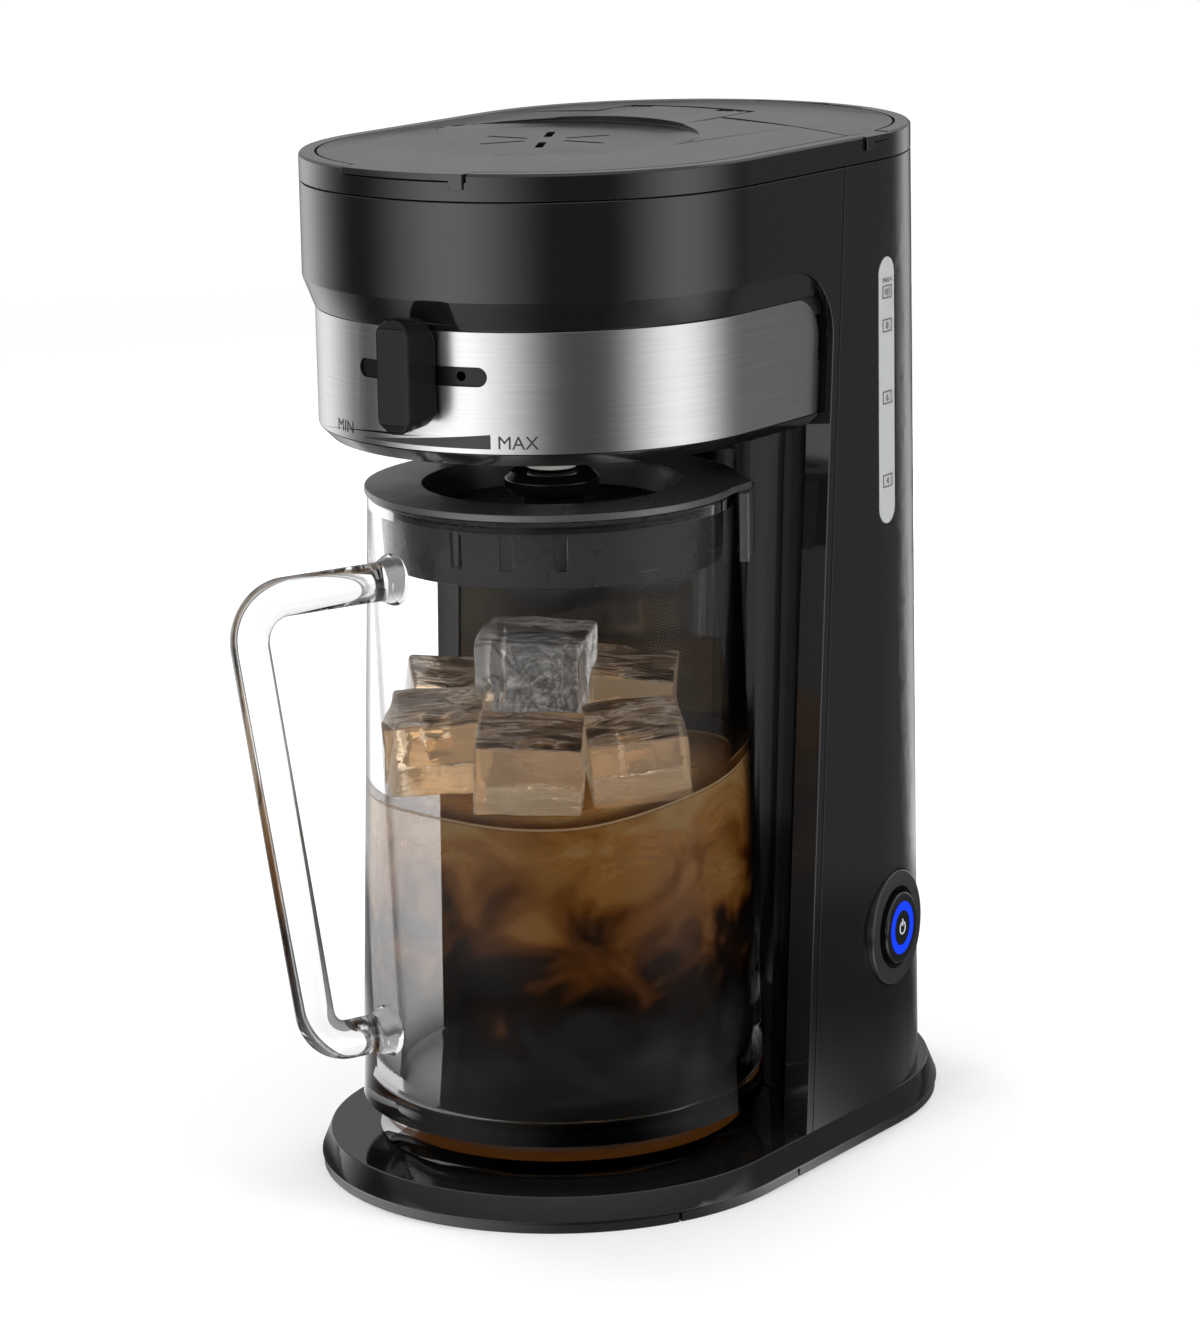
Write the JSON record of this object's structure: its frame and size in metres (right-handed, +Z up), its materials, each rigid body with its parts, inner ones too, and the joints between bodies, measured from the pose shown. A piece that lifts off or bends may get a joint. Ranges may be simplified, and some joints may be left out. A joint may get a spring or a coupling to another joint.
{
  "type": "iced tea maker",
  "caption": "Iced tea maker: rounded tower and overhanging brew head with strength lever and two hinged lids over a lidded glass jug on a base.",
  "frame": {"origin": "where the axis of the brew head and jug meets the table", "axes": "+Z up, -Y towards the front of the machine, +X towards the side with the gauge and the power button"},
  "size_m": [0.1742, 0.2992, 0.3646],
  "materials": {
    "black_gloss": "glossy moulded black",
    "black_satin": "fine satin black",
    "brushed_skin": "brushed round the drum",
    "clear_glass": "clear borosilicate",
    "smoke_window": "smoked clear plastic",
    "chrome_bezel": "satin chrome",
    "rubber": "soft black",
    "pad": "soft black, ribbed",
    "steel_plain": "plain stainless",
    "zinc_screw": "zinc plated",
    "led_lens": "frosted clear lens",
    "tank_clear": "clear polycarbonate",
    "mesh": "fine woven mesh",
    "silicone": "translucent silicone",
    "board_green": "solder-masked board",
    "heater_alu": "extruded",
    "white_nylon": "natural nylon"
  },
  "bodies": {
    "machine": {"base_shell": "black_gloss", "bottom_cover": "black_satin", "rubber_feet": "rubber", "bottom_screws": "zinc_screw", "pitcher_pad": "pad", "front_housing": "black_gloss", "rear_shell": "black_gloss", "water_window": "smoke_window", "button_bezel": "chrome_bezel", "tact_switch": "white_nylon", "control_board": "board_green", "cord_gland": "rubber", "column_panel": "black_gloss", "drum_shell": "black_satin", "brew_panel": "brushed_skin", "drum_rim": "black_gloss", "top_ring": "black_gloss", "head_deck": "black_satin", "front_hinge_pin": "steel_plain", "tank_hinge_pin": "steel_plain", "hinge_saddles": "black_satin", "brew_basket": "black_satin", "mesh_filter": "mesh", "drip_spring": "steel_plain", "water_tank": "tank_clear", "tank_screen": "mesh", "tank_seal": "silicone", "inlet_hose": "silicone", "check_valve": "white_nylon", "heater_tube": "heater_alu", "heating_element": "steel_plain", "heater_bracket": "steel_plain", "thermostat": "steel_plain", "thermal_fuse": "white_nylon", "riser_hose": "silicone", "water_nozzle": "white_nylon"},
    "front_lid": {"front_lid": "black_gloss", "shower_head": "black_satin", "lid_seal": "silicone"},
    "tank_lid": {"tank_lid": "black_gloss"},
    "lever": {"strength_lever": "black_satin", "lever_carriage": "black_satin"},
    "button": {"power_button": "black_gloss", "led_ring": "led_lens"},
    "drip_valve": {"drip_stop": "white_nylon"},
    "pitcher": {"pitcher_glass": "clear_glass", "pitcher_handle": "clear_glass", "pitcher_lid": "black_satin", "lid_knob": "black_gloss", "jug_seal": "silicone"}
  },
  "joints": [
    {"name": "front_lid_hinge", "type": "hinge", "parent": "machine", "child": "front_lid", "pos_m": [0, 0.0878, 0.36189], "axis": [-1, 0, 0], "range_deg": [0, 95]},
    {"name": "tank_lid_hinge", "type": "hinge", "parent": "machine", "child": "tank_lid", "pos_m": [0, 0.15397, 0.3578], "axis": [-1, 0, 0], "range_deg": [0, 100]},
    {"name": "strength_lever_turn", "type": "hinge", "parent": "machine", "child": "lever", "pos_m": [0, 0, 0.293], "axis": [0, 0, 1], "range_deg": [-16.5, 12.7]},
    {"name": "power_button_press", "type": "slide", "parent": "machine", "child": "button", "axis": [-0.9932, -0.1167, 0], "range_m": [0, 0.0015], "stiffness_N_per_m": 400, "springref_m": -0.002},
    {"name": "drip_valve_lift", "type": "slide", "parent": "machine", "child": "drip_valve", "axis": [0, 0, 1], "range_m": [0, 0.003], "stiffness_N_per_m": 150, "springref_m": -0.004, "deforming": ["drip_spring"]},
    {"name": "pitcher_slide", "type": "slide", "parent": "machine", "child": "pitcher", "axis": [0, -1, 0], "range_m": [0, 0.22]}
  ]
}
